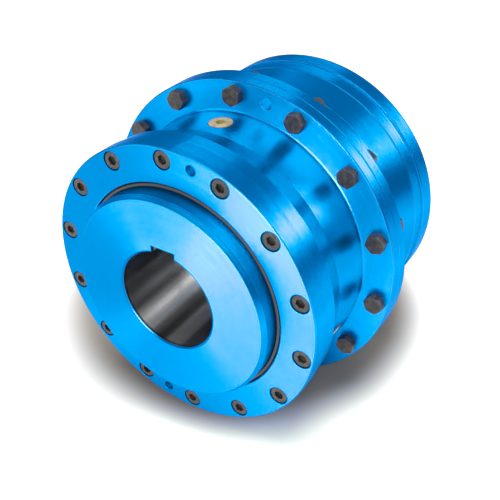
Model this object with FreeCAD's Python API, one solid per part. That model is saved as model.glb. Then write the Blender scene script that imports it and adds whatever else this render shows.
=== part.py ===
import FreeCAD, Part
import math
import os

# Gear coupling, lying along +X. The origin is its centre: the plane where the two
# flanges meet, on the shaft line. +Z is up, through the keyways.
# Lengths are millimetres, angles are degrees from +Z towards +Y.
# Along the shaft line a place is given as its distance from the joint plane.

# Hubs
bore_dia = 140.0
key_width = 36.0
key_depth = 8.4
hub_barrel_dia = 292.0
hub_end_gap = 10.0
hub_proud = 26.0
hub_edge_run = 7.0
hub_edge_drop = 4.5
hub_inner_chamfer = 3.0
bore_chamfer = 2.0

# Sleeves
flange_dia = 457.0
flange_thick = 18.0
flange_edge = 1.2
flange_fillet = 3.0
body_dia = 370.0
body_wall = 19.0
rim_dia = 397.0
rim_thick = 25.0
sleeve_length = 146.0
joint_chamfer = 0.8

# End covers
cover_dia = 402.0
cover_thick = 28.0
cover_bore_dia = 304.0
cover_edge = 1.2
spigot_length = 10.0
spigot_clearance = 0.15

# Gear mesh: crowned teeth on the hub, straight teeth in the sleeve
tooth_count = 52
pitch_dia = 312.0
tooth_addendum = 6.0
hub_tooth_depth = 13.0
hub_face_width = 44.0
gear_centre = 95.0
mesh_overrun = 5.0
tooth_half_thick = 4.45
pressure_angle = 20.0
side_clearance = 0.5
tooth_crown = 0.35
gear_blank_sink = 5.0
tip_clearance = 2.0
root_clearance = 1.7

# Bolt circles
fastener_count = 14
first_fastener_angle = 3.93
bolt_circle_dia = 420.0
screw_circle_dia = 370.0

# Flange bolts, M16
bolt_dia = 16.0
bolt_hole_clearance = 0.5
bolt_head_across = 24.0
bolt_head_height = 11.5
nut_height = 13.0
nut_turn = 19.0
washer_dia = 30.0
washer_thick = 3.0
bolt_end_proud = 4.0
head_chamfer = 1.0
head_chamfer_angle = 30.0

# Cover screws, M16 with low heads
screw_dia = 16.0
screw_length = 40.0
screw_head_dia = 24.0
screw_head_height = 9.0
screw_head_edge = 0.8
screw_socket_across = 12.0
screw_socket_depth = 6.0
screw_sink = 1.0
counterbore_clearance = 1.0
screw_hole_clearance = 0.5
thread_clearance = 0.1
tap_runout = 1.5

# Jacking holes, two in each cover and each flange
jack_count = 2
cover_jack_dia = 14.0
flange_jack_dia = 17.5

# Lubrication plugs, with collar and hexagon socket
plug_count = 3
plug_thread_dia = 26.0
plug_collar_dia = 32.0
plug_collar_height = 4.0
plug_seat_depth = 5.0
plug_seat_clearance = 0.75
plug_socket_across = 12.0
plug_socket_depth = 7.0
plug_place = 53.0
plug_thread_length = 14.0
plug_washer_thick = 1.5
plug_edge = 0.6

# Hub seals
seal_hub_clearance = 0.3
seal_lip_thick = 4.0
seal_face_sink = 1.0
seal_foot_depth = 11.3
seal_foot_width = 10.0
seal_foot_place = 12.0
seal_room = 2.6
seal_edge = 1.0

# O-rings, drawn in their squeezed state
o_ring_width = 5.6
o_ring_squeeze = 4.2
o_ring_side_room = 0.5
o_ring_fit = 0.15
cover_o_ring_inset = 5.0
flange_o_ring_dia = 354.0
o_ring_corner = 1.2

# Worked out from the above
cover_outer = sleeve_length + cover_thick
hub_outer = cover_outer + hub_proud
hub_inner = hub_end_gap / 2
barrel_radius = hub_barrel_dia / 2
cavity_radius = body_dia / 2 - body_wall
pitch_radius = pitch_dia / 2
hub_tip_radius = pitch_radius + tooth_addendum
hub_root_radius = hub_tip_radius - hub_tooth_depth
sleeve_root_radius = hub_tip_radius + tip_clearance
sleeve_tip_radius = hub_root_radius + root_clearance
mesh_half_width = hub_face_width / 2 + mesh_overrun
spigot_radius = cavity_radius - spigot_clearance
cover_o_ring_place = sleeve_length - cover_o_ring_inset
flange_fillet_middle = flange_fillet * (1 - math.sqrt(0.5))
fastener_step = 360.0 / fastener_count
tooth_step = 360.0 / tooth_count

X_AXIS = FreeCAD.Vector(1, 0, 0)
ORIGIN = FreeCAD.Vector(0, 0, 0)
NEAR = -1
FAR = 1

# How far a cutting shape runs past the metal that it cuts
cut_over = 1.0


def point(x, radius, angle=0.0):
    """A point at a place along the shaft line, a radius and an angle from +Z."""
    a = math.radians(angle)
    return FreeCAD.Vector(x, radius * math.sin(a), radius * math.cos(a))


def outward(angle):
    """The unit vector that points away from the shaft line at an angle."""
    return point(0, 1, angle)


def turned(outline, side):
    """A solid of revolution about the shaft line from (place, radius) corners."""
    corners = [point(side * place, radius) for place, radius in outline]
    face = Part.Face(Part.makePolygon(corners + corners[:1]))
    return face.revolve(ORIGIN, X_AXIS, 360)


def rod(side, start, end, dia, circle_radius, angle):
    """A cylinder parallel to the shaft line, between two places."""
    base = point(side * start, circle_radius, angle)
    direction = X_AXIS * (side if end > start else -side)
    return Part.makeCylinder(dia / 2, abs(end - start), base, direction)


def hexagon(base, direction, corner_direction, across, height):
    """A hexagonal prism that stands on a base point, with one corner towards a direction."""
    corner = across / math.sqrt(3)
    sideways = direction.cross(corner_direction)
    points = []
    for k in range(6):
        a = math.radians(60 * k)
        points.append(base + corner_direction * (corner * math.cos(a)) + sideways * (corner * math.sin(a)))
    return Part.Face(Part.makePolygon(points + points[:1])).extrude(direction * height)


def chamfered_hexagon(base, direction, corner_direction, across, height, chamfer):
    """A hexagon head whose corners are turned down at its free end."""
    prism = hexagon(base, direction, corner_direction, across, height)
    corner = across / math.sqrt(3)
    slope = math.tan(math.radians(head_chamfer_angle))
    low = corner + (height - chamfer) / slope
    top = corner - chamfer / slope
    cone = Part.makeCone(low, top, height, base, direction)
    return prism.common(cone)


def fastener_angles():
    return [first_fastener_angle + k * fastener_step for k in range(fastener_count)]


def jack_angles(side):
    """Jacking holes lie halfway between two fasteners, on opposite sides of the circle."""
    first = first_fastener_angle + side * fastener_step / 2
    return [first + k * 360.0 / jack_count for k in range(jack_count)]


def plug_angles():
    return [first_fastener_angle + k * 360.0 / plug_count for k in range(plug_count)]


def involute(angle):
    """The involute function of a pressure angle in radians."""
    return math.tan(angle) - angle


def flank_angle_at(radius, wider=0.0):
    """Half the angle that a hub tooth takes up at a radius, with its flanks moved out by a width."""
    pressure = math.radians(pressure_angle)
    here = math.acos(pitch_radius * math.cos(pressure) / radius)
    half = tooth_half_thick / pitch_radius + involute(pressure) - involute(here) + wider / radius
    return math.degrees(half)


def tooth_outline(x, low, high, middle, half_angles):
    """A closed wire at one place: two curved flanks joined by a chord at each end."""
    low_half, mid_half, high_half = half_angles
    mean = (low + high) / 2
    left = [point(x, r, middle - h) for r, h in ((low, low_half), (mean, mid_half), (high, high_half))]
    right = [point(x, r, middle + h) for r, h in ((low, low_half), (mean, mid_half), (high, high_half))]
    return Part.Wire([Part.Arc(left[0], left[1], left[2]).toShape(),
                      Part.LineSegment(left[2], right[2]).toShape(),
                      Part.Arc(right[2], right[1], right[0]).toShape(),
                      Part.LineSegment(right[0], left[0]).toShape()])


def hub_tooth_gap(side, middle):
    """The space between two crowned hub teeth: wider at its ends than in the middle."""
    low = hub_root_radius
    high = hub_tip_radius + cut_over
    wires = []
    for share in (-1.0, -0.5, 0.0, 0.5, 1.0):
        offset = share * (hub_face_width / 2 + cut_over)
        relief = tooth_crown * (2 * offset / hub_face_width) ** 2
        half_angles = [tooth_step / 2 - flank_angle_at(r, -relief) for r in (low, (low + high) / 2, high)]
        wires.append(tooth_outline(side * (gear_centre + offset), low, high, middle, half_angles))
    return Part.makeLoft(wires, True, True)


def hub_gear_blank(side):
    """The toothed part of the hub before its gaps are cut: a ball-shaped tip surface."""
    half = hub_face_width / 2
    edge_radius = math.sqrt(hub_tip_radius ** 2 - half ** 2)
    inside = barrel_radius - gear_blank_sink
    low = point(side * (gear_centre - half), edge_radius)
    top = point(side * gear_centre, hub_tip_radius)
    high = point(side * (gear_centre + half), edge_radius)
    edges = [Part.LineSegment(point(side * (gear_centre - half), inside), low).toShape(),
             Part.Arc(low, top, high).toShape(),
             Part.LineSegment(high, point(side * (gear_centre + half), inside)).toShape(),
             Part.LineSegment(point(side * (gear_centre + half), inside),
                              point(side * (gear_centre - half), inside)).toShape()]
    return Part.Face(Part.Wire(edges)).revolve(ORIGIN, X_AXIS, 360)


def hub(side):
    """Turned barrel with crowned teeth, a bore with chamfered mouths, and one keyway."""
    bore = bore_dia / 2
    face_radius = barrel_radius - hub_edge_drop
    barrel = turned([
        (hub_inner, bore + bore_chamfer),
        (hub_inner, barrel_radius - hub_inner_chamfer),
        (hub_inner + hub_inner_chamfer, barrel_radius),
        (hub_outer - hub_edge_run, barrel_radius),
        (hub_outer, face_radius),
        (hub_outer, bore + bore_chamfer),
        (hub_outer - bore_chamfer, bore),
        (hub_inner + bore_chamfer, bore)], side)
    gaps = [hub_tooth_gap(side, (k + 0.5) * tooth_step) for k in range(tooth_count)]
    gear = hub_gear_blank(side).cut(gaps)
    body = barrel.fuse(gear).removeSplitter()
    low = min(side * hub_inner, side * hub_outer) - cut_over
    keyway = Part.makeBox(hub_outer - hub_inner + 2 * cut_over, key_width, key_depth + bore / 2,
                          FreeCAD.Vector(low, -key_width / 2, bore / 2))
    return body.cut(keyway)


def sleeve_tooth_space(side, middle):
    """The straight space in the sleeve that one hub tooth works in."""
    low = sleeve_tip_radius - cut_over
    high = sleeve_root_radius
    room = side_clearance / math.cos(math.radians(pressure_angle))
    half_angles = [flank_angle_at(r, room) for r in (low, (low + high) / 2, high)]
    ends = (gear_centre - mesh_half_width - cut_over, gear_centre + mesh_half_width + cut_over)
    wires = [tooth_outline(side * place, low, high, middle, half_angles) for place in ends]
    return Part.makeLoft(wires, True, True)


def plug_hole(side, angle):
    """The tapped lubrication hole through the sleeve wall and the spot face round it."""
    direction = outward(angle)
    x = side * plug_place
    seat = body_dia / 2 - plug_seat_depth
    thread = Part.makeCylinder(plug_thread_dia / 2 + thread_clearance, body_wall + 2 * cut_over,
                               point(x, cavity_radius - cut_over, angle), direction)
    spot = Part.makeCylinder(plug_collar_dia / 2 + plug_seat_clearance, plug_seat_depth + cut_over,
                             point(x, seat, angle), direction)
    return thread.fuse(spot)


def sleeve(side):
    """Flanged sleeve: main flange, turned body, end rim and a ring of internal teeth."""
    body = body_dia / 2
    flange = flange_dia / 2
    rim = rim_dia / 2
    rim_back = sleeve_length - rim_thick
    tooth_start = gear_centre - mesh_half_width
    tooth_end = gear_centre + mesh_half_width
    blank = turned([
        (0.0, cavity_radius + joint_chamfer),
        (0.0, flange - joint_chamfer),
        (joint_chamfer, flange),
        (flange_thick - flange_edge, flange),
        (flange_thick, flange - flange_edge),
        (flange_thick, body + flange_fillet),
        (flange_thick + flange_fillet_middle, body + flange_fillet_middle),
        (flange_thick + flange_fillet, body),
        (rim_back, body),
        (rim_back, rim - flange_edge),
        (rim_back + flange_edge, rim),
        (sleeve_length - joint_chamfer, rim),
        (sleeve_length, rim - joint_chamfer),
        (sleeve_length, cavity_radius + joint_chamfer),
        (sleeve_length - joint_chamfer, cavity_radius),
        (tooth_end, cavity_radius),
        (tooth_end, sleeve_tip_radius),
        (tooth_start, sleeve_tip_radius),
        (tooth_start, cavity_radius),
        (joint_chamfer, cavity_radius)], side)
    cuts = [sleeve_tooth_space(side, k * tooth_step) for k in range(tooth_count)]
    for angle in fastener_angles():
        hole = bolt_dia + 2 * bolt_hole_clearance
        cuts.append(rod(side, -cut_over, flange_thick + cut_over, hole, bolt_circle_dia / 2, angle))
        tap = screw_dia + 2 * thread_clearance
        depth = screw_length - cover_land() + tap_runout
        cuts.append(rod(side, sleeve_length + cut_over, sleeve_length - depth, tap,
                        screw_circle_dia / 2, angle))
    for angle in jack_angles(side):
        cuts.append(rod(side, -cut_over, flange_thick + cut_over, flange_jack_dia, bolt_circle_dia / 2, angle))
    for angle in plug_angles():
        cuts.append(plug_hole(side, angle))
    if side == NEAR:
        cuts.append(flange_o_ring_groove())
    return blank.cut(cuts)


def cover_land():
    """Metal left in the cover under a screw head."""
    return cover_thick - screw_head_height - screw_sink


def end_cover(side):
    """Ring that closes the sleeve end: spigot, seal groove, counterbores and jacking holes."""
    outer = cover_dia / 2
    bore = cover_bore_dia / 2
    groove_radius = seal_foot_radius() + seal_room
    groove_start = seal_foot_start() - seal_room
    groove_end = seal_foot_start() + seal_foot_width + seal_room
    ring_floor = cavity_radius - o_ring_squeeze - o_ring_fit
    ring_half = o_ring_width / 2 + o_ring_side_room
    cover = turned([
        (sleeve_length - spigot_length, bore),
        (sleeve_length - spigot_length, spigot_radius),
        (cover_o_ring_place - ring_half, spigot_radius),
        (cover_o_ring_place - ring_half, ring_floor),
        (cover_o_ring_place + ring_half, ring_floor),
        (cover_o_ring_place + ring_half, spigot_radius),
        (sleeve_length, spigot_radius),
        (sleeve_length, outer - cover_edge),
        (sleeve_length + cover_edge, outer),
        (cover_outer - cover_edge, outer),
        (cover_outer, outer - cover_edge),
        (cover_outer, bore + cover_edge),
        (cover_outer - cover_edge, bore),
        (groove_end, bore),
        (groove_end, groove_radius),
        (groove_start, groove_radius),
        (groove_start, bore)], side)
    seat = sleeve_length + cover_land()
    inside = sleeve_length - cut_over
    outside = cover_outer + cut_over
    cuts = []
    for angle in fastener_angles():
        hole = screw_dia + 2 * screw_hole_clearance
        bore_out = screw_head_dia + 2 * counterbore_clearance
        cuts.append(rod(side, inside, outside, hole, screw_circle_dia / 2, angle))
        cuts.append(rod(side, seat, outside, bore_out, screw_circle_dia / 2, angle))
    for angle in jack_angles(side):
        cuts.append(rod(side, inside, outside, cover_jack_dia, screw_circle_dia / 2, angle))
    return cover.cut(cuts)


def seal_foot_radius():
    return barrel_radius + seal_hub_clearance + seal_foot_depth


def seal_foot_start():
    """Place of the inner side of the seal's foot, which lies in the groove of the cover."""
    return sleeve_length + seal_foot_place - seal_foot_width / 2


def hub_seal(side):
    """Rubber ring: a foot in the cover's groove and a lip that runs out along the barrel."""
    inner = barrel_radius + seal_hub_clearance
    start = seal_foot_start()
    end = start + seal_foot_width
    face = cover_outer - seal_face_sink
    lip = inner + seal_lip_thick
    return turned([
        (start, inner),
        (start, seal_foot_radius()),
        (end, seal_foot_radius()),
        (end, lip),
        (face - seal_edge, lip),
        (face, lip - seal_edge),
        (face, inner + seal_edge),
        (face - seal_edge, inner)], side)


def o_ring(place, inner, outer, width, side):
    """A squeezed O-ring: a ring of round-cornered section."""
    low = place - width / 2
    high = place + width / 2
    c = o_ring_corner
    return turned([
        (low, inner + c), (low, outer - c), (low + c, outer), (high - c, outer),
        (high, outer - c), (high, inner + c), (high - c, inner), (low + c, inner)], side)


def cover_o_ring(side):
    """O-ring in the spigot groove, against the bore of the sleeve."""
    return o_ring(cover_o_ring_place, cavity_radius - o_ring_squeeze, cavity_radius - o_ring_fit,
                  o_ring_width, side)


def flange_o_ring_groove():
    """Face groove in the near flange."""
    middle = flange_o_ring_dia / 2
    half = o_ring_width / 2 + o_ring_side_room
    return turned([
        (-cut_over, middle - half), (-cut_over, middle + half),
        (o_ring_squeeze, middle + half), (o_ring_squeeze, middle - half)], NEAR)


def flange_o_ring():
    """O-ring in the face groove of the near flange, against the far flange."""
    middle = flange_o_ring_dia / 2
    return o_ring(o_ring_squeeze / 2, middle - o_ring_width / 2, middle + o_ring_width / 2,
                  o_ring_squeeze, NEAR)


def flange_bolt(angle):
    """Hexagon bolt through both flanges, with its head against the near flange."""
    radius = bolt_circle_dia / 2
    seat = point(-flange_thick, radius, angle)
    head = chamfered_hexagon(seat, -X_AXIS, outward(angle), bolt_head_across, bolt_head_height, head_chamfer)
    length = 2 * flange_thick + washer_thick + nut_height + bolt_end_proud
    shank = Part.makeCylinder(bolt_dia / 2, length - head_chamfer, seat, X_AXIS)
    tip = Part.makeCone(bolt_dia / 2, bolt_dia / 2 - head_chamfer, head_chamfer,
                        seat + X_AXIS * (length - head_chamfer), X_AXIS)
    return head.fuse([shank, tip])


def flange_washer(angle):
    """Plain washer between the far flange and its nut."""
    radius = bolt_circle_dia / 2
    washer = rod(FAR, flange_thick, flange_thick + washer_thick, washer_dia, radius, angle)
    hole = bolt_dia + 2 * bolt_hole_clearance
    return washer.cut(rod(FAR, flange_thick - cut_over, flange_thick + washer_thick + cut_over,
                          hole, radius, angle))


def flange_nut(angle, turn):
    """Hexagon nut, turned to where it came tight."""
    radius = bolt_circle_dia / 2
    seat = point(flange_thick + washer_thick, radius, angle)
    nut = chamfered_hexagon(seat, X_AXIS, outward(angle + turn), bolt_head_across, nut_height, head_chamfer)
    return nut.cut(Part.makeCylinder(bolt_dia / 2 + thread_clearance, nut_height + 2 * cut_over,
                                     seat - X_AXIS * cut_over, X_AXIS))


def cover_screw(side, angle):
    """Low-head cap screw: its head lies just under the face of the cover."""
    radius = screw_circle_dia / 2
    seat = sleeve_length + cover_land()
    top = seat + screw_head_height
    direction = X_AXIS * side
    head = Part.makeCylinder(screw_head_dia / 2, screw_head_height - screw_head_edge,
                             point(side * seat, radius, angle), direction)
    crown = Part.makeCone(screw_head_dia / 2, screw_head_dia / 2 - screw_head_edge, screw_head_edge,
                          point(side * (top - screw_head_edge), radius, angle), direction)
    shank = rod(side, seat, seat - screw_length, screw_dia, radius, angle)
    socket = hexagon(point(side * (top - screw_socket_depth), radius, angle), direction,
                     outward(angle), screw_socket_across, screw_socket_depth + cut_over)
    return head.fuse([crown, shank]).cut(socket)


def lube_plug(side, angle):
    """Brass screw plug: collar, threaded shank and hexagon socket."""
    direction = outward(angle)
    x = side * plug_place
    seat = body_dia / 2 - plug_seat_depth + plug_washer_thick
    top = seat + plug_collar_height
    collar = Part.makeCylinder(plug_collar_dia / 2, plug_collar_height - plug_edge,
                               point(x, seat, angle), direction)
    crown = Part.makeCone(plug_collar_dia / 2, plug_collar_dia / 2 - plug_edge, plug_edge,
                          point(x, top - plug_edge, angle), direction)
    shank = Part.makeCylinder(plug_thread_dia / 2, plug_thread_length, point(x, seat, angle), -direction)
    socket = hexagon(point(x, top - plug_socket_depth, angle), direction, X_AXIS,
                     plug_socket_across, plug_socket_depth + cut_over)
    return collar.fuse([crown, shank]).cut(socket)


def plug_washer(side, angle):
    """Soft metal washer under the collar of a plug."""
    direction = outward(angle)
    x = side * plug_place
    seat = body_dia / 2 - plug_seat_depth
    disc = Part.makeCylinder(plug_collar_dia / 2, plug_washer_thick, point(x, seat, angle), direction)
    return disc.cut(Part.makeCylinder(plug_thread_dia / 2 + thread_clearance, plug_washer_thick + 2 * cut_over,
                                      point(x, seat - cut_over, angle), direction))


def group(solids):
    return Part.makeCompound(solids)


def build():
    nodes = {}
    for name, side in (("near", NEAR), ("far", FAR)):
        nodes[name + "_hub"] = hub(side)
        nodes[name + "_sleeve"] = sleeve(side)
        nodes[name + "_end_cover"] = end_cover(side)
        nodes[name + "_hub_seal"] = hub_seal(side)
        nodes[name + "_cover_o_ring"] = cover_o_ring(side)
        nodes[name + "_cover_screws"] = group([cover_screw(side, a) for a in fastener_angles()])
        nodes[name + "_lube_plugs"] = group([lube_plug(side, a) for a in plug_angles()])
        nodes[name + "_plug_washers"] = group([plug_washer(side, a) for a in plug_angles()])
    nodes["flange_o_ring"] = flange_o_ring()
    nodes["flange_bolts"] = group([flange_bolt(a) for a in fastener_angles()])
    nodes["flange_washers"] = group([flange_washer(a) for a in fastener_angles()])
    nodes["flange_nuts"] = group([flange_nut(a, k * nut_turn) for k, a in enumerate(fastener_angles())])
    return nodes


def write_parts(nodes):
    os.makedirs("parts", exist_ok=True)
    for name, shape in nodes.items():
        shape.exportStep("parts/" + name + ".step")
        print(name, "solids", len(shape.Solids), "volume", round(shape.Volume), "valid", shape.isValid())


write_parts(build())
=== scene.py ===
# %% [markdown]
# # A flanged gear coupling in blue lacquer
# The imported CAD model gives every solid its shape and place. This lesson adds what the solids lack:
# lacquer over turned steel, oiled bare metal, rubber, brass, two tapers, screw threads, a studio
# and a camera. All lengths are metres. The shaft line is X, the near end is at negative X, and the
# keyways point up, along Z.

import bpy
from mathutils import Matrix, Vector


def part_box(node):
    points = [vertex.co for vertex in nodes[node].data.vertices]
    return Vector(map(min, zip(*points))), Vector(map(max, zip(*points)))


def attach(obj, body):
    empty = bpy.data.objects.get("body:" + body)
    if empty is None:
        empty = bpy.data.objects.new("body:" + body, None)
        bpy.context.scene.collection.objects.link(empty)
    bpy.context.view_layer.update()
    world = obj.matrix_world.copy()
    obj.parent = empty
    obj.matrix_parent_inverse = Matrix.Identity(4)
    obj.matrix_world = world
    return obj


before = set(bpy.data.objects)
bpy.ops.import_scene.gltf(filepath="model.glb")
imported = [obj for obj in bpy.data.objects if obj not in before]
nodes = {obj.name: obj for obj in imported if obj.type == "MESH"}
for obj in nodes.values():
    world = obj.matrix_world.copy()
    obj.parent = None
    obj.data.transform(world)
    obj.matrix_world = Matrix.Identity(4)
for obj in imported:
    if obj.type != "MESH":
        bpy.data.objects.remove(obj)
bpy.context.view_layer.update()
print("solids loaded:", len(nodes))

# %% Modules for shapes and numbers
import math

import bpy
from mathutils import Matrix, Vector

print("Blender", bpy.app.version_string)

# %% [markdown]
# ## Sizes that the finishes need
# Paint ends where machining starts, so the finishes ask where on the coupling a point is. The
# outer sizes could be typed in, but a box round each solid gives them and stays true when the
# model changes. A box can't see inside, so an inner size is given where it is first used.

# %% Sizes read from the solids
hub_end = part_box("far_hub")[1].x
cover_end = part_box("far_end_cover")[1].x
rim_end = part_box("far_sleeve")[1].x
flange_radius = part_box("far_sleeve")[1].y
print("half length %.4f, flange radius %.4f" % (hub_end, flange_radius))

# %% [markdown]
# ## Shader maths as plain Python
# A mask such as "nearer to the shaft than 70 mm" is a chain of Math nodes. Built by hand that is
# many lines, so a small class lets a socket be added and multiplied like a number. Each sign
# adds one Math node. Everything that is not arithmetic goes through one method, `Finish.node`.

# %% A socket that works like a number
class Value:
    def __init__(self, finish, socket):
        self.finish = finish
        self.socket = socket

    def _math(self, operation, first, second=None):
        values = {0: first} if second is None else {0: first, 1: second}
        return self.finish.node("ShaderNodeMath", {"operation": operation}, values)

    def __add__(self, other):
        return self._math("ADD", self, other)

    def __sub__(self, other):
        return self._math("SUBTRACT", self, other)

    def __rsub__(self, other):
        return self._math("SUBTRACT", other, self)

    def __mul__(self, other):
        return self._math("MULTIPLY", self, other)

    def __pow__(self, other):
        return self._math("POWER", self, other)

    def __abs__(self):
        return self._math("ABSOLUTE", self)

    def __gt__(self, other):
        return self._math("GREATER_THAN", self, other)

    def __lt__(self, other):
        return self._math("LESS_THAN", self, other)

    __radd__ = __add__
    __rmul__ = __mul__


print("a value adds Math nodes:", Value.__name__)


# %% A material under construction
class Finish:
    def __init__(self, name):
        self.material = bpy.data.materials.new(name)
        self.material.use_nodes = True
        self.tree = self.material.node_tree
        self.tree.nodes.clear()
        self.shader = self.tree.nodes.new("ShaderNodeBsdfPrincipled")
        output = self.tree.nodes.new("ShaderNodeOutputMaterial")
        self.tree.links.new(self.shader.outputs[0], output.inputs[0])

    def _feed(self, node, values):
        for key, value in values.items():
            if isinstance(value, Value):
                self.tree.links.new(value.socket, node.inputs[key])
            else:
                node.inputs[key].default_value = value

    def node(self, kind, settings=None, values=None, out=0):
        """One node: its type, its settings, then what its sockets hold or are linked to."""
        made = self.tree.nodes.new(kind)
        for key, value in (settings or {}).items():
            setattr(made, key, value)
        self._feed(made, values or {})
        return Value(self, made.outputs[out])

    def surface(self, **values):
        """Fill the Principled shader's sockets, named with an underscore for each space."""
        self._feed(self.shader, {key.replace("_", " "): value for key, value in values.items()})
        return self.material

    def vector(self, operation, first, second=None, out=0):
        values = {0: first} if second is None else {0: first, 1: second}
        return self.node("ShaderNodeVectorMath", {"operation": operation}, values, out)

    def scaled(self, direction, amount):
        return self.node("ShaderNodeVectorMath", {"operation": "SCALE"}, {0: direction, "Scale": amount})

    def blend(self, mask, first, second):
        """The first colour where the mask is 0, the second where it is 1."""
        settings = {"data_type": "RGBA"}
        return self.node("ShaderNodeMix", settings, {0: mask, 6: first, 7: second}, out=2)

    def step(self, value, low, high):
        """A soft step: 0 up to `low`, 1 from `high` on."""
        limits = {0: value, 1: low, 2: high, 3: 0.0, 4: 1.0}
        return self.node("ShaderNodeMapRange", {"interpolation_type": "SMOOTHSTEP"}, limits)


print("a finish builds one material:", Finish.__name__)

# %% [markdown]
# ## Where on the coupling is this point?
# Every node of the model sits at the origin, so object coordinates are the coupling's own. From
# them come the radius from the shaft line and the direction round it. A UV map could say the same,
# but would have to be made for every solid, and turned finishes need just these two. The normal
# comes from a Bevel node, which rounds each sharp edge a little, as a file does, and leaves the
# mesh as it is.

# %% Radius, place and the direction across the turning marks
edge_round = 0.0008


def lathe_coordinates(finish):
    here = finish.node("ShaderNodeTexCoord", out=3)
    x = finish.node("ShaderNodeSeparateXYZ", values={0: here}, out=0)
    y = finish.node("ShaderNodeSeparateXYZ", values={0: here}, out=1)
    z = finish.node("ShaderNodeSeparateXYZ", values={0: here}, out=2)
    radius = (y * y + z * z) ** 0.5
    outward = finish.vector("NORMALIZE", finish.node("ShaderNodeCombineXYZ", values={0: 0.0, 1: y, 2: z}))
    around = finish.vector("CROSS_PRODUCT", (1.0, 0.0, 0.0), outward)
    true_normal = finish.node("ShaderNodeNewGeometry", out=1)
    normal = finish.node("ShaderNodeBevel", {"samples": 6}, {"Radius": edge_round})
    across = finish.vector("CROSS_PRODUCT", normal, around)
    return {"here": here, "radius": radius, "outward": outward, "normal": normal,
            "true_normal": true_normal, "across": across,
            "along": radius + x, "from_middle": abs(x)}


print("edges rounded by", edge_round)


# %% Parts of a surface: sectors, flat faces, grooves and clouds
grain_depth = 0.0002


def sector(finish, place, angle, full, none):
    """1 within `full` degrees of an angle round the shaft, 0 beyond `none`. Up is 0 and +Y is 90."""
    turn = math.radians(angle)
    side = (0.0, math.sin(turn), math.cos(turn))
    facing = finish.vector("DOT_PRODUCT", place["outward"], side, out=1)
    return finish.step(facing, math.cos(math.radians(none)), math.cos(math.radians(full)))


def end_on(finish, place):
    """1 on faces square to the shaft, 0 on round surfaces, and between them on slopes."""
    return abs(finish.node("ShaderNodeSeparateXYZ", values={0: place["true_normal"]}))


def on_face(finish, place):
    """1 on faces square to the shaft, 0 on everything else."""
    return finish.step(end_on(finish, place), 0.90, 0.97)


def grooves(finish, place, per_metre, detail):
    """A random value for each ring round the shaft."""
    return finish.node("ShaderNodeTexNoise", {"noise_dimensions": "1D"},
                       {"W": place["along"] * per_metre, "Detail": detail, "Scale": 1.0})


def clouds(finish, place, per_metre, detail):
    """A random value that drifts over the surface."""
    return finish.node("ShaderNodeTexNoise", {},
                       {"Vector": place["here"], "Scale": per_metre, "Detail": detail})


def grain(finish, place, per_metre, strength):
    """A fine bump, as deep as `grain_depth` at full strength."""
    height = clouds(finish, place, per_metre, 2.0)
    bump = {"Strength": strength, "Distance": grain_depth, "Height": height}
    return finish.node("ShaderNodeBump", {}, bump)


print("masks:", sector.__name__, end_on.__name__, on_face.__name__)
print("textures:", grooves.__name__, clouds.__name__, grain.__name__)

# %% [markdown]
# ## Turning marks
# A lathe tool leaves a fine thread of grooves. They are far smaller than a pixel, and what the
# eye sees is their effect: light smears across the grooves and stays sharp along them. A bump
# texture that fine only makes noise, so the normal itself is tilted across the grooves by a
# random amount that changes every fraction of a millimetre. Coarser rings ride on top.

# %% Tilt the normal across the grooves
fine_grooves = 5200.0
coarse_grooves = 240.0
coarse_tilt = 0.012


def turned_normal(finish, place, fine_tilt, lean, calm):
    fine = (grooves(finish, place, fine_grooves, 1.0) - 0.5) * fine_tilt
    coarse = (grooves(finish, place, coarse_grooves, 2.0) - 0.5) * coarse_tilt
    tilt = (fine + coarse) * calm + lean
    leaning = finish.vector("ADD", place["normal"], finish.scaled(place["across"], tilt))
    return finish.vector("NORMALIZE", leaning)


print("fine grooves per metre:", fine_grooves)

# %% [markdown]
# ## Blue lacquer over turned steel
# The coupling is finished in a clear blue lacquer on bright steel, so it mirrors the studio
# almost like metal. The Principled shader has a coat, but that mirrors weakly and without colour.
# A metallic surface with a blue base mirrors strongly and in blue, and its tint at glancing
# angles keeps the rims blue.
# The lacquer is pale on its corners, rubbed thin there and partly a painted highlight. Painted
# shade deepens its tone where the grooves run away from the light, and on the hubs' barrels.

# %% Colours of the lacquer
lacquer_blue = (0.0, 0.335, 0.93, 1.0)
lacquer_deep = (0.0, 0.300, 0.88, 1.0)
glancing_blue = (0.0, 0.4, 1.0, 1.0)
# The deeper blues from here on are painted shade. The pale edge blue is worn lacquer and a painted
# highlight.
painted_shade_blue = (0.0, 0.165, 0.52, 1.0)
edge_pale_wear_and_highlight = (0.10, 0.62, 1.0, 1.0)
barrel_painted_shade_blue = (0.0, 0.060, 0.21, 1.0)
mouth_painted_shade_blue = (0.0, 0.12, 0.37, 1.0)
# The taper's two blues are painted shade.
taper_painted_shade_deep = (0.0, 0.125, 0.36, 1.0)
taper_painted_shade_blue = (0.0, 0.150, 0.43, 1.0)
lacquer_gloss = 0.25
face_gloss_loss = 0.05
ring_gloss_spread = 0.05
lacquer_metal = 0.94
tone_clouds = 9.0
print("lacquer from", lacquer_deep, "to", lacquer_blue)

# %% [markdown]
# ## Rubbed corners and painted edge highlights
# A mask for edges can be painted by hand or read from the mesh's curvature. A Bevel node finds
# them with neither: its normal differs from the true one only close to a corner, so the two are
# compared. On the lacquer the pale corners are partly rubbed lacquer and partly a painted
# highlight, where real edges would catch the light. The covers' ring of screw holes is left out,
# because pale rims there would make halos round the dark heads.

# %% A mask for worn edges, also used for painted edge highlights
lacquer_wear_and_highlight_width = 0.0013
lacquer_wear_and_highlight = 0.5
corner_turn = (0.01, 0.12)
screw_band_radii = (0.170, 0.1985)


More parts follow.
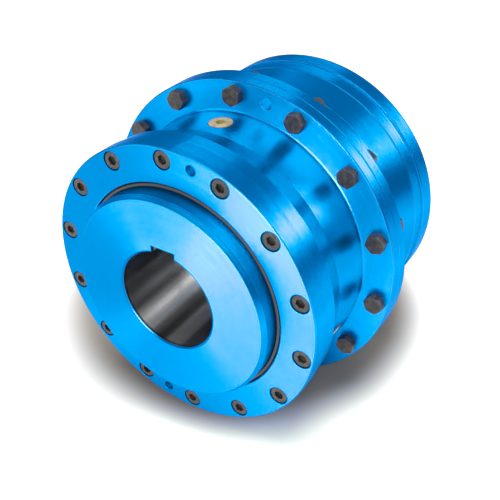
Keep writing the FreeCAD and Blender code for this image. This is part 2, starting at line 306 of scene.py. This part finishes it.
def edge_wear_and_highlight_mask(finish, place, width):
    """1 where the surface turns a corner within the width, 0 on open faces."""
    rounded = finish.node("ShaderNodeBevel", {"samples": 6}, {"Radius": width})
    turn = 1.0 - finish.vector("DOT_PRODUCT", rounded, place["true_normal"], out=1)
    return finish.step(turn, *corner_turn)


def round_screws(finish, place):
    """1 on the covers' ring of screw holes."""
    inner, outer = screw_band_radii
    return (place["radius"] > inner) * (place["radius"] < outer) * (place["from_middle"] > rim_end)


print("worn edge width:", lacquer_wear_and_highlight_width)

# %% [markdown]
# ## Painted shade in sectors of the faces
# Turned faces shine in a bow tie, and the sectors beside it stay darker. True grooves would do
# that by themselves, but they are too fine to model, so each darker sector is painted shade: a
# deeper blue in a mask by the angle round the shaft. A sector is three angles: where its middle
# is, how far from there it is full, and how far from there it has faded out.

# %% Masks for painted shade on the faces
hub_painted_shade = (83.1, 0.0, 63.2)
cover_painted_shade = (65.0, 18.2, 81.4)
low_painted_shade = (185.2, 14.1, 60.0)
low_painted_shade_strength = 0.55


def painted_face_shade(finish, place, side):
    """1 in one sector of a turned face, where shade is painted, 0 in the others and off the faces."""
    return on_face(finish, place) * sector(finish, place, *side)


print("dull sectors of hub, cover and all faces:", hub_painted_shade, cover_painted_shade, low_painted_shade)

# %% [markdown]
# ## Dull and oily round surfaces
# Round surfaces have their own sectors of painted shade. Low on one side they face the dark under
# the part, and a narrow band beside the bright streak gets painted shade too. The hubs' barrels get
# painted shade above and below. The chamfer in each bore's mouth gets a deep tone of its own, a
# painted shade that hides its highlight.

# %% Masks for painted shade on round surfaces
bore_radius = 0.070
barrel_radius = 0.146
barrel_margin = 0.001
mouth_width = 0.0025
mouth_depth = 0.0035
# Painted shade on the hubs' barrels, below and above.
barrel_shade_below = (253.7, 0.0, 69.5)
barrel_shade_above = (10.0, 20.0, 42.0)
barrel_shade_above_share = 0.95
barrel_shade_strength = 0.8
rim_shade_below = (253.7, 0.0, 34.9)
rim_shade_below_share = 0.8
rim_shade_beside = (292.0, 0.0, 15.2)
rim_shade_beside_share = 0.75


def painted_barrel_shade(finish, place):
    """1 where shade is painted on a hub's barrel outside its cover, below and above."""
    within = place["radius"] < barrel_radius + barrel_margin
    outside = place["from_middle"] > cover_end - barrel_margin
    off_face = finish.step(end_on(finish, place), 0.5, 0.2)
    barrel_shading = sector(finish, place, *barrel_shade_below) + sector(finish, place, *barrel_shade_above) * barrel_shade_above_share
    return barrel_shading * (within * outside) * off_face


def painted_rim_shade(finish, place):
    """How much shade is painted on a round surface, from 0 to 1, by the angle round the shaft."""
    below = sector(finish, place, *rim_shade_below) * rim_shade_below_share
    beside = sector(finish, place, *rim_shade_beside) * rim_shade_beside_share
    return below + beside


def bore_mouth(finish, place):
    """1 on the chamfer in a bore's mouth."""
    return (place["radius"] < bore_radius + mouth_width) * (place["from_middle"] > hub_end - mouth_depth)


print("bore radius %.3f, barrel radius %.3f" % (bore_radius, barrel_radius))


# %% The lacquer's colour: random tone, then painted shade, worn edges and painted highlights
def lacquer_colour(finish, place, tones, painted_shade):
    blue = finish.blend(finish.step(clouds(finish, place, tone_clouds, 3.0), 0.35, 0.65), *tones)
    on_round = 1.0 - on_face(finish, place)
    wear_and_highlight = edge_wear_and_highlight_mask(finish, place, lacquer_wear_and_highlight_width) * (1.0 - round_screws(finish, place))
    # Each deeper blue blended in below is painted shade, and the pale edge is worn lacquer and a painted
    # highlight.
    blue = finish.blend(painted_barrel_shade(finish, place) * barrel_shade_strength, blue, barrel_painted_shade_blue)
    blue = finish.blend(painted_rim_shade(finish, place) * on_round, blue, painted_shade_blue)
    blue = finish.blend(painted_face_shade(finish, place, painted_shade), blue, painted_shade_blue)
    # Pale corners: worn lacquer and a painted highlight.
    blue = finish.blend(wear_and_highlight * lacquer_wear_and_highlight, blue, edge_pale_wear_and_highlight)
    # Painted shade on the bore's mouth chamfer hides its highlight.
    blue = finish.blend(bore_mouth(finish, place), blue, mouth_painted_shade_blue)
    return finish.blend(painted_face_shade(finish, place, low_painted_shade) * low_painted_shade_strength, blue, painted_shade_blue)


print("strength of oil, wear and low shade:", barrel_shade_strength, lacquer_wear_and_highlight, low_painted_shade_strength)

# %% [markdown]
# ## Bare steel in the bore, with painted reflections
# The bores are honed, and oiling keeps them from rust. Such a bore mirrors the room as stripes of
# light along the shaft line: a broad one, two weaker ones, and a dark one between. The light
# inside a mirror tube takes many bounces to settle, so the stripes are helped by painted
# reflections: sectors that make the steel's colour brighter or darker. The upper half is painted
# brighter than the lower, and painted shade darkens the last few millimetres.

# %% Steel with painted stripes along the bore
# Painted reflection: a bright steel for the stripes, a dim one between them, and painted shade.
steel_painted_light = (0.96, 0.96, 0.96, 1.0)
steel_between_painted_stripes = (0.24, 0.24, 0.24, 1.0)
steel_painted_shade = (0.03, 0.03, 0.03, 1.0)
steel_gloss = 0.19
broad_stripe = (145.0, 8.1, 21.6)
faint_stripe = (105.0, 0.0, 18.2)
low_stripe = (183.0, 0.0, 16.3)
upper_half = (325.0, 78.5, 101.5)
weaker_lights = ((faint_stripe, 0.13), (low_stripe, 0.7), (upper_half, 0.85))
dark_stripe = (164.0, 5.7, 12.8)
dark_stripe_strength = 0.75
dark_end_depth = 0.0045
dark_end_strength = 0.85


def honed_steel_painted_stripes(finish, place):
    bright = sector(finish, place, *broad_stripe)
    for side, strength in weaker_lights:
        bright = bright + sector(finish, place, *side) * strength
    steel = finish.blend(bright, steel_between_painted_stripes, steel_painted_light)
    steel = finish.blend(sector(finish, place, *dark_stripe) * dark_stripe_strength, steel, steel_painted_shade)
    # Painted shade in the last few millimetres of the bore.
    at_end = place["from_middle"] > hub_end - dark_end_depth
    return finish.blend(at_end * dark_end_strength, steel, steel_painted_shade)


print("steel tones:", steel_painted_light[0], steel_between_painted_stripes[0], steel_painted_shade[0])

# %% [markdown]
# ## Lacquer and steel in one material
# Each turned part has both kinds of surface in one mesh. Two materials would need its faces
# sorted into two sets, and the solids stay as they are, so a mask blends the two finishes. The
# faces mirror a little less sharply than the round surfaces, and each ring round the shaft has
# a gloss of its own. Honed steel has almost no turning marks, so the mask calms them there.

# %% Lacquer and steel
gloss_rings = 700.0
steel_calm = 0.94


def lacquered(name, bare, leaning, marks, painted_shade=hub_painted_shade, tones=(lacquer_deep, lacquer_blue)):
    """Blue lacquer, with bare steel where the mask `bare` is 1."""
    finish = Finish(name)
    place = lathe_coordinates(finish)
    mask = bare(finish, place)
    blue = lacquer_colour(finish, place, tones, painted_shade)
    ring = grooves(finish, place, gloss_rings, 3.0)
    gloss = lacquer_gloss + (ring - 0.5) * ring_gloss_spread + on_face(finish, place) * face_gloss_loss
    normal = turned_normal(finish, place, marks, leaning(finish, place), 1.0 - mask * steel_calm)
    return finish.surface(Base_Color=finish.blend(mask, blue, honed_steel_painted_stripes(finish, place)),
                          Metallic=lacquer_metal, Roughness=gloss + mask * (steel_gloss - lacquer_gloss),
                          Normal=normal, Specular_IOR_Level=0.0, Specular_Tint=glancing_blue)


print("gloss of lacquer and steel:", lacquer_gloss, steel_gloss)

# %% [markdown]
# ## Which surfaces stay bare, and how the faces are dished
# The bore, the keyway behind its first few millimetres and all that lies inside the sleeves are
# bare steel. A painter masks those with tape, and a mask by place does the same. The turned
# faces look slightly dished in the photograph: the light on them lies where a flat face wouldn't
# show it. The solids have them flat, so the dish is a tilt of the normal away from the shaft line.

# %% Bare surfaces of each turned part
bore_skin = 0.0002
keyway_radius = 0.0812
keyway_paint_depth = 0.006
cover_paint_depth = 0.021
cavity_radius = 0.166
cavity_skin = 0.0004
spigot_skin = 0.0003


def bare_hub(finish, place):
    in_bore = place["radius"] < bore_radius + bore_skin
    in_key = (place["radius"] < keyway_radius) * (hub_end - place["from_middle"] > keyway_paint_depth)
    inside = place["from_middle"] < cover_end - cover_paint_depth
    return finish.step(in_bore + in_key + inside, 0.4, 0.6)


def bare_sleeve(finish, place):
    return place["radius"] < cavity_radius + cavity_skin


def bare_cover(finish, place):
    return place["from_middle"] < rim_end - spigot_skin


print("bare steel within radius:", bore_radius, cavity_radius)

# %% How far each turned face is dished
face_skin = 0.0006
flange_face_places = (0.0172, 0.0190)
fillet_foot_radius = 0.187
hub_dish = 0.09
flange_dish = 0.07
cover_dish = 0.08


def lean_hub(finish, place):
    return (place["from_middle"] > hub_end - face_skin) * hub_dish


def lean_sleeve(finish, place):
    low, high = flange_face_places
    between = (place["from_middle"] > low) * (place["from_middle"] < high)
    return between * (place["radius"] > fillet_foot_radius) * flange_dish


def lean_cover(finish, place):
    return (place["from_middle"] > cover_end - face_skin) * cover_dish


def lean_none(finish, place):
    return 0.0


print("dish of hub, flange and cover:", hub_dish, flange_dish, cover_dish)

# %% Four lacquers, one for each kind of turned surface
hub_lacquer = lacquered("lacquer_hub", bare_hub, lean_hub, marks=1.4)
sleeve_lacquer = lacquered("lacquer_sleeve", bare_sleeve, lean_sleeve, marks=0.8)
cover_lacquer = lacquered("lacquer_cover", bare_cover, lean_cover, marks=1.1, painted_shade=cover_painted_shade)
# The near taper's lacquer is painted darker, as painted shade.
taper_painted_shade_lacquer = lacquered("lacquer_taper_painted_shade", bare_sleeve, lean_none, marks=0.8, tones=(taper_painted_shade_deep, taper_painted_shade_blue))
print("lacquers:", hub_lacquer.name, sleeve_lacquer.name, cover_lacquer.name, taper_painted_shade_lacquer.name)

# %% [markdown]
# ## Black oxide on screws, bolts, nuts and washers
# Fasteners come dipped in hot black oxide: a thin grey-black skin, satin, rubbed a little brown
# where spanners and keys touch it. One flat black would look like plastic, so cloudy noise
# varies the skin, the worn edges get the brown, and a fine grain breaks up the shine.

# %% Black oxide
rubbed_brown = (0.135, 0.100, 0.075, 1.0)
oxide_wear_width = 0.0012
oxide_wear = 0.6
oxide_clouds = 160.0
oxide_grain = 1400.0


def black_oxide(name, dark, light, gloss):
    finish = Finish(name)
    place = lathe_coordinates(finish)
    cloud = clouds(finish, place, oxide_clouds, 4.0)
    skin = finish.blend(finish.step(cloud, 0.35, 0.70), dark, light)
    skin = finish.blend(edge_wear_and_highlight_mask(finish, place, oxide_wear_width) * oxide_wear, skin, rubbed_brown)
    return finish.surface(Base_Color=skin, Metallic=0.1, Roughness=gloss + (cloud - 0.5) * 0.25,
                          Normal=grain(finish, place, oxide_grain, 0.25))


bolt_dark = (0.020, 0.018, 0.015, 1.0)
bolt_light = (0.056, 0.050, 0.041, 1.0)
screw_dark = (0.017, 0.016, 0.016, 1.0)
screw_light = (0.046, 0.043, 0.041, 1.0)
bolt_black = black_oxide("black_oxide_bolts", bolt_dark, bolt_light, gloss=0.48)
screw_black = black_oxide("black_oxide_screws", screw_dark, screw_light, gloss=0.42)
print("fastener finishes:", bolt_black.name, screw_black.name)

# %% [markdown]
# ## Rubber
# The hub seals and O-rings are dark rubber, dull with a dusting of grey. Rubber hardly mirrors
# anything, so a plain shader does. The dust is a slow noise that lightens and roughens it.

# %% Rubber
rubber_dark = (0.036, 0.036, 0.032, 1.0)
rubber_dusty = (0.070, 0.068, 0.060, 1.0)
rubber_gloss = 0.55
dust_clouds = 45.0
rubber_grain = 1800.0


def rubber(name):
    finish = Finish(name)
    place = lathe_coordinates(finish)
    dust = clouds(finish, place, dust_clouds, 5.0)
    return finish.surface(Base_Color=finish.blend(dust, rubber_dark, rubber_dusty),
                          Roughness=rubber_gloss + (dust - 0.5) * 0.2,
                          Normal=grain(finish, place, rubber_grain, 0.2))


seal_rubber = rubber("seal_rubber")
print("rubber:", seal_rubber.name)

# %% [markdown]
# ## Brass and copper
# The plugs are turned brass that has lost its first shine, and their sealing rings are soft
# copper. Full metal would mirror the dark room, and the film of tarnish scatters light instead,
# so the shader is only partly metallic.

# %% Brass and copper
brass_dark = (0.44, 0.32, 0.13, 1.0)
brass_light = (0.62, 0.48, 0.22, 1.0)
copper_dark = (0.60, 0.28, 0.17, 1.0)
copper_light = (0.78, 0.42, 0.28, 1.0)
tarnished_metallic = 0.45
tarnish_clouds = 120.0
metal_grain = 1500.0


def tarnished_metal(name, dark, light, gloss):
    finish = Finish(name)
    place = lathe_coordinates(finish)
    cloud = clouds(finish, place, tarnish_clouds, 4.0)
    return finish.surface(Base_Color=finish.blend(finish.step(cloud, 0.3, 0.7), dark, light),
                          Metallic=tarnished_metallic, Roughness=gloss + (cloud - 0.5) * 0.2,
                          Normal=grain(finish, place, metal_grain, 0.2))


plug_brass = tarnished_metal("plug_brass", brass_dark, brass_light, gloss=0.40)
ring_copper = tarnished_metal("ring_copper", copper_dark, copper_light, gloss=0.36)
print("bright finishes:", plug_brass.name, ring_copper.name)

# %% [markdown]
# ## Every solid gets its finish
# Each node of the pack holds one kind of part, so one material for each is enough. A table from
# the node's name to its material is easy to read and to change. Like parts of the near and the
# far half share a finish.

# %% Give each solid its finish
finishes = {
    "near_hub": hub_lacquer, "far_hub": hub_lacquer,
    "near_sleeve": sleeve_lacquer, "far_sleeve": sleeve_lacquer,
    "near_end_cover": cover_lacquer, "far_end_cover": cover_lacquer,
    "near_hub_seal": seal_rubber, "far_hub_seal": seal_rubber,
    "near_cover_o_ring": seal_rubber, "far_cover_o_ring": seal_rubber, "flange_o_ring": seal_rubber,
    "flange_bolts": bolt_black, "flange_nuts": bolt_black, "flange_washers": bolt_black,
    "near_cover_screws": screw_black, "far_cover_screws": screw_black,
    "near_lube_plugs": plug_brass, "far_lube_plugs": plug_brass,
    "near_plug_washers": ring_copper, "far_plug_washers": ring_copper}
for name, material in finishes.items():
    nodes[name].data.materials.clear()
    nodes[name].data.materials.append(material)
print("finished solids:", len(finishes))

# %% [markdown]
# ## Tapers behind the rims
# Each end rim runs down to the sleeve's body in a shallow taper. The solid has a square shoulder
# there, so a ring fills the corner. Blender's cone primitive has no bore, so a profile of four
# points is spun round the shaft line instead. The ring is sunk a little into the rim and the
# body, so that no gap shows. The near taper faces the flange, and its lacquer is painted darker
# than the rest, as painted shade. The far one keeps the sleeve's own.

# %% A ring turned from a profile
ring_steps = 240
sharp_angle = 15.0


def turned_ring(name, profile, material):
    """A closed ring: every profile point, given as x and radius, spun round the shaft line."""
    points = []
    faces = []
    count = len(profile)
    for step in range(ring_steps):
        angle = 2.0 * math.pi * step / ring_steps
        points += [(x, radius * math.sin(angle), radius * math.cos(angle)) for x, radius in profile]
        base = step * count
        after = ((step + 1) % ring_steps) * count
        for k in range(count):
            beside = (k + 1) % count
            faces.append((base + k, base + beside, after + beside, after + k))
    mesh = bpy.data.meshes.new(name)
    mesh.from_pydata(points, [], faces)
    mesh.materials.append(material)
    for polygon in mesh.polygons:
        polygon.use_smooth = True
    mesh.set_sharp_from_angle(angle=math.radians(sharp_angle))
    ring = bpy.data.objects.new(name, mesh)
    bpy.context.scene.collection.objects.link(ring)
    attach(ring, "sleeve_assembly")
    return ring


print("ring steps:", ring_steps)

# %% Rim tapers
body_radius = 0.1850
foot_rise = 0.00005
root_sink = 0.0006
rim_shoulder = 0.1213
taper_end = 0.0850
taper_top = 0.1974
taper_foot = body_radius + foot_rise
taper_root = body_radius - root_sink
far_profile = [(rim_shoulder, taper_root), (rim_shoulder, taper_top),
               (taper_end, taper_foot), (taper_end, taper_root)]
near_profile = [(-x, radius) for x, radius in reversed(far_profile)]
far_taper = turned_ring("far_rim_taper", far_profile, sleeve_lacquer)
near_taper = turned_ring("near_rim_taper", near_profile, taper_painted_shade_lacquer)
print("taper faces:", len(far_taper.data.polygons), len(near_taper.data.polygons))

# %% [markdown]
# ## Threads on the bolt ends
# Each bolt stands a few millimetres out of its nut, and there its thread shows. The solid has a
# smooth end. A bump could hint at a thread, but its outline would stay smooth. A thread is a
# ridge that climbs a helix, so the ridge is drawn round every bolt end as a strip with three
# edges: two in the bolt and one proud of it.

# %% The ridge of one thread
bolt_circle_radius = 0.210
bolt_radius = 0.008
thread_start = 0.0343
thread_pitch = 0.0014
thread_turns = 2.2
thread_crest = 0.0006
thread_foot = -0.0003
thread_sink = 0.0001
thread_half_width = 0.4
thread_steps = 20
fade_steps = 4.0


def thread_ridge(angle):
    """Points and faces of one ridge that climbs round a bolt end and fades out at both ends."""
    centre = Vector((0.0, bolt_circle_radius * math.sin(angle), bolt_circle_radius * math.cos(angle)))
    points = []
    faces = []
    count = int(thread_steps * thread_turns)
    for step in range(count + 1):
        turn = 2.0 * math.pi * step / thread_steps
        fade = min(1.0, step / fade_steps, (count - step) / fade_steps)
        crest = thread_crest * fade - thread_sink
        profile = ((-thread_half_width, thread_foot), (0.0, crest), (thread_half_width, thread_foot))
        spoke = Vector((0.0, math.sin(turn), math.cos(turn)))
        here = thread_start + thread_pitch * step / thread_steps
        for shift, height in profile:
            along = Vector((here + shift * thread_pitch, 0.0, 0.0))
            points.append(centre + along + spoke * (bolt_radius + height))
    for step in range(count):
        base = 3 * step
        faces.append((base, base + 1, base + 4, base + 3))
        faces.append((base + 1, base + 2, base + 5, base + 4))
        faces.append((base + 2, base, base + 3, base + 5))
    faces.append((2, 1, 0))
    faces.append((3 * count, 3 * count + 1, 3 * count + 2))
    return points, faces


print("thread turns:", thread_turns)

# %% Bolt threads
fastener_count = 14
first_fastener_angle = 3.93
thread_mesh = bpy.data.meshes.new("bolt_threads")
all_points = []
all_faces = []
for k in range(fastener_count):
    points, faces = thread_ridge(math.radians(first_fastener_angle + k * 360.0 / fastener_count))
    all_faces += [tuple(len(all_points) + corner for corner in face) for face in faces]
    all_points += points
thread_mesh.from_pydata(all_points, [], all_faces)
thread_mesh.materials.append(bolt_black)
threads = bpy.data.objects.new("bolt_threads", thread_mesh)
bpy.context.scene.collection.objects.link(threads)
for polygon in thread_mesh.polygons:
    polygon.use_smooth = True
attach(threads, "sleeve_assembly")
print("thread faces:", len(thread_mesh.polygons))

# %% [markdown]
# ## The floor
# The coupling rests on a pale sweep of matte paper, large enough to fill the picture. It is also
# what the front faces mirror, since the camera looks down on them. A part that stands on one
# point of its flange hides much of the floor from the light, and the paper in that shade is
# painted darker, in a disc under the part and a fainter one behind it. Lights alone would leave
# it blue, from the lacquer above. Far out the paper is painted darker still, as painted shade,
# falling off to grey.

# %% The floor's place and tones
floor_size = 14.0
floor_gap = 0.0005
floor_height = -flange_radius - floor_gap
fibre_scale = 400.0
paper_pale = (0.90, 0.90, 0.90, 1.0)
paper_bright = (0.93, 0.93, 0.93, 1.0)
# Painted shade far out on the paper.
paper_outer_painted_shade = (0.80, 0.80, 0.80, 1.0)
paper_far_painted_shade = (0.25, 0.25, 0.25, 1.0)
shade_core = (0.215, 0.195, 0.165, 1.0)
shade_halo = (0.24, 0.22, 0.19, 1.0)
outer_reach = (0.9, 1.7)
edge_reach = (2.2, 3.4)
core_centre = (0.108, 0.086, 0.0)
core_reach = (0.25, 0.335)
halo_centre = (0.0, 0.15, 0.0)
halo_reach = (0.33, 0.18)
halo_strength = 0.30
print("floor at", round(floor_height, 4))

# %% Floor
bpy.ops.mesh.primitive_plane_add(size=floor_size, location=(0.0, 0.0, floor_height))
floor = bpy.context.object
floor.name = "paper_floor"
paper = Finish("paper")
fibre = paper.node("ShaderNodeTexNoise", {}, {"Scale": fibre_scale, "Detail": 2.0})
spot = paper.node("ShaderNodeTexCoord", out=3)


def reach_from(centre):
    return paper.vector("LENGTH", paper.vector("SUBTRACT", spot, centre), out=1)


reach = reach_from((0.0, 0.0, 0.0))
core = paper.step(reach_from(core_centre), *core_reach)
halo = paper.step(reach_from(halo_centre), *halo_reach) * halo_strength
shade = paper.blend(fibre, paper_pale, paper_bright)
shade = paper.blend(paper.step(reach, *outer_reach), shade, paper_outer_painted_shade)
shade = paper.blend(core, shade_core, shade)
shade = paper.blend(halo, shade, shade_halo)
shade = paper.blend(paper.step(reach, *edge_reach), shade, paper_far_painted_shade)
floor.data.materials.append(paper.surface(Base_Color=shade, Roughness=0.9, Specular_IOR_Level=0.0))
print("floor tones:", len(paper.tree.nodes), "nodes")

# %% [markdown]
# ## Studio light
# Round glossy parts show their light sources, so each box is placed by what it draws on them:
# the streak along the round surfaces, the soft shine at their crown, the glow on the turned
# faces, the light on edges that face up and forward, the streak that is seen from behind, and
# the shine on the far taper. A broad sun from above lights the floor evenly, which small lamps
# near the part can't do. It is hidden from mirrors, so that it adds no spots.

# %% Lights
light_distance = 2.6


def soft_box(name, towards, size, radiance):
    """A lit rectangle that faces the coupling. Its brightness stays the same at any size."""
    lamp = bpy.data.lights.new(name, "AREA")
    lamp.shape = "RECTANGLE"
    lamp.size, lamp.size_y = size
    lamp.energy = radiance * math.pi * lamp.size * lamp.size_y
    box = bpy.data.objects.new(name, lamp)
    bpy.context.scene.collection.objects.link(box)
    direction = Vector(towards).normalized()
    box.location = direction * light_distance
    box.rotation_euler = direction.to_track_quat("Z", "Y").to_euler()


soft_box("streak_box", (0.69, -0.60, 0.405), (1.6, 1.0), 2.5)
soft_box("crown_box", (0.69, 0.34, 0.62), (1.2, 0.8), 1.4)
soft_box("front_box", (-1.0, -0.12, 0.12), (1.6, 1.2), 8.6)
soft_box("edge_box", (-0.69, -0.06, 0.67), (2.6, 1.0), 2.4)
soft_box("rear_streak_box", (-0.62, 0.72, 0.40), (1.6, 1.0), 2.2)
soft_box("taper_box", (0.15, -0.74, 0.655), (0.9, 1.5), 2.3)
print("soft boxes:", len(bpy.data.lights))

# %% Sun
sun_towards = (-0.16, -0.02, 1.0)
fill = bpy.data.lights.new("overhead_fill", "SUN")
fill.energy = 3.5
fill.angle = 0.62
overhead = bpy.data.objects.new("overhead_fill", fill)
overhead.rotation_euler = Vector(sun_towards).to_track_quat("Z", "Y").to_euler()
overhead.visible_glossy = False
bpy.context.scene.collection.objects.link(overhead)

# %% [markdown]
# ## Room
# What no light covers is a mid grey room. The round surfaces mirror it as the darker bands
# that lie beside the streak. A black room would make those bands too hard, and a white one
# would leave the whole part flat.

# %% World
room_white = (1.0, 1.0, 1.0, 1.0)
room_strength = 0.30
world = bpy.data.worlds.new("studio_room")
bpy.context.scene.world = world
world.use_nodes = True
background = world.node_tree.nodes["Background"]
background.inputs[0].default_value = room_white
background.inputs[1].default_value = room_strength
print("room strength:", room_strength)

# %% [markdown]
# ## Camera
# A camera could be placed by eye. Here the lens and place were fitted to the centres of the
# screws and bolts in the photograph, which all lie on circles round the shaft line.

# %% Camera
camera_place = Vector((-0.7995, -0.5121, 0.6157))
camera_forward = Vector((0.6927, 0.4461, -0.5667)).normalized()
camera_right = Vector((0.5414, -0.8408, 0.0)).normalized()
camera_up = camera_right.cross(camera_forward)
lens = bpy.data.cameras.new("studio_camera")
lens.sensor_width = 36.0
lens.lens = 56.71
camera = bpy.data.objects.new("studio_camera", lens)
turn = Matrix((camera_right, camera_up, -camera_forward)).transposed()
camera.matrix_world = Matrix.Translation(camera_place) @ turn.to_4x4()
bpy.context.scene.collection.objects.link(camera)
bpy.context.scene.camera = camera
bpy.context.scene.view_settings.view_transform = "Standard"
print("camera distance %.3f" % camera_place.length)

# %% [markdown]
# ## Film
# Blender's plain view clips a colour that is lit past full, channel by channel. A camera's
# sensor lets strong blue leak into red instead, which makes the streaks pale. Blue seen in a
# mirror of itself drifts towards violet in a renderer, and keeps its hue in a photograph. One
# of Blender's softer views would grey the white floor too, so a small compositor chain works on
# the channels. Green never falls under a share of blue. Red gains from blue past full, but only
# up to a share of green. Bright blue is held back, except where green is bright too.

# %% Arithmetic for the film
spill_start = 1.38
spill_limit = 0.48
green_share = 0.33
shoulder_slope = 0.66
shoulder_lift = 0.17
scene = bpy.context.scene
scene.use_nodes = True
film = scene.node_tree
film.nodes.clear()


def film_math(operation, first, second):
    """One Math node of the compositor, fed by sockets or plain numbers."""
    node = film.nodes.new("CompositorNodeMath")
    node.operation = operation
    for socket, value in zip(node.inputs, (first, second)):
        if isinstance(value, float):
            socket.default_value = value
        else:
            film.links.new(value, socket)
    return node.outputs[0]


print("spill starts at", spill_start)

# %% Film response
shot = film.nodes.new("CompositorNodeRLayers")
split = film.nodes.new("CompositorNodeSeparateColor")
join = film.nodes.new("CompositorNodeCombineColor")
picture = film.nodes.new("CompositorNodeComposite")
film.links.new(shot.outputs["Image"], split.inputs[0])
red, green, blue, alpha = split.outputs[:4]
excess = film_math("MAXIMUM", film_math("SUBTRACT", blue, spill_start), 0.0)
spilled = film_math("ADD", red, film_math("MULTIPLY", excess, excess))
most_red = film_math("MAXIMUM", red, film_math("MULTIPLY", green, spill_limit))
least_green = film_math("MULTIPLY", blue, green_share)
shoulder = film_math("ADD", film_math("MULTIPLY", blue, shoulder_slope), shoulder_lift)
film.links.new(film_math("MINIMUM", spilled, most_red), join.inputs[0])
film.links.new(film_math("MAXIMUM", green, least_green), join.inputs[1])
film.links.new(film_math("MINIMUM", blue, film_math("MAXIMUM", shoulder, green)), join.inputs[2])
film.links.new(alpha, join.inputs[3])
film.links.new(join.outputs[0], picture.inputs["Image"])
print("film nodes:", len(film.nodes))
